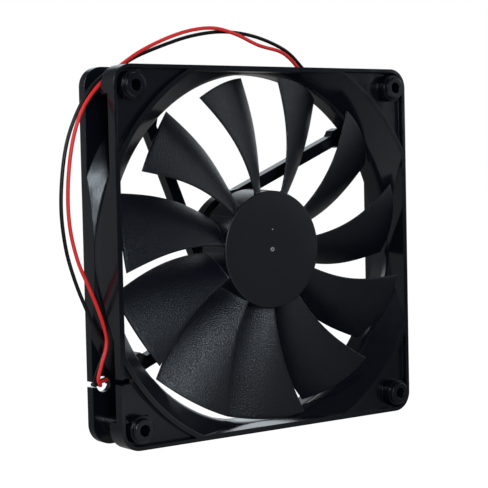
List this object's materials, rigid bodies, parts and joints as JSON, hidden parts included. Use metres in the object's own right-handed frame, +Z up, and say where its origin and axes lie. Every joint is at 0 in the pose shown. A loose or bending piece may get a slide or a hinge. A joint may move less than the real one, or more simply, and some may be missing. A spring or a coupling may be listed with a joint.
{
  "type": "case fan",
  "caption": "Square computer case fan: open duct frame with flanged corners, swept-blade impeller on a sleeve-bearing motor held by tangent struts, and a red and black lead.",
  "frame": {"origin": "on the floor under the middle of the upright frame, at the bottom edge and halfway between the bosses' front faces and the back face", "axes": "+Z up; -Y is the intake side that the picture shows; the fan's axis runs along Y at z = 0.07 m"},
  "size_m": [0.1581, 0.027, 0.1555],
  "materials": {
    "moulded_frame": "semi-gloss black moulded plastic",
    "brass": "turned brass",
    "bronze": "oil-filled sintered bronze",
    "thrust_plastic": "smooth white plastic",
    "cap_plastic": "matte",
    "oil_felt": "oiled washer",
    "lamination": "stacked steel sheet",
    "insulator": "matte",
    "copper_winding": "enamelled copper wire",
    "board": "green solder mask",
    "chip_plastic": "moulded package",
    "capacitor_sleeve": "sleeved can",
    "tinned_pin": "tinned",
    "red_insulation": "glossy cable insulation",
    "black_insulation": "glossy cable insulation",
    "impeller_plastic": "satin black moulded plastic",
    "yoke_steel": "drawn steel",
    "magnet": "bonded magnet",
    "shaft_steel": "ground steel",
    "ring_steel": "spring steel",
    "connector_plastic": "moulded nylon",
    "contact_metal": "stamped contact"
  },
  "bodies": {
    "housing": {"frame": "moulded_frame", "bearing_holder": "brass", "sleeve_bearing": "bronze", "thrust_plate": "thrust_plastic", "bearing_cap": "cap_plastic", "oil_washer": "oil_felt", "stator_core": "lamination", "front_insulator": "insulator", "back_insulator": "insulator", "coil_1": "copper_winding", "coil_2": "copper_winding", "coil_3": "copper_winding", "coil_4": "copper_winding", "circuit_board": "board", "hall_sensor": "chip_plastic", "driver_chip": "chip_plastic", "capacitor": "capacitor_sleeve", "board_pins": "tinned_pin", "red_lead": "red_insulation", "black_lead": "black_insulation", "red_wire": "red_insulation", "black_wire": "black_insulation", "connector": "connector_plastic", "red_terminal": "contact_metal", "black_terminal": "contact_metal"},
    "rotor": {"impeller": "impeller_plastic", "rotor_yoke": "yoke_steel", "magnet_ring": "magnet", "shaft": "shaft_steel", "shaft_bush": "brass", "retaining_ring": "ring_steel"}
  },
  "joints": [
    {"name": "rotor_spin", "type": "hinge", "parent": "housing", "child": "rotor", "pos_m": [0, 0, 0.07], "axis": [0, -1, 0], "continuous": true}
  ]
}
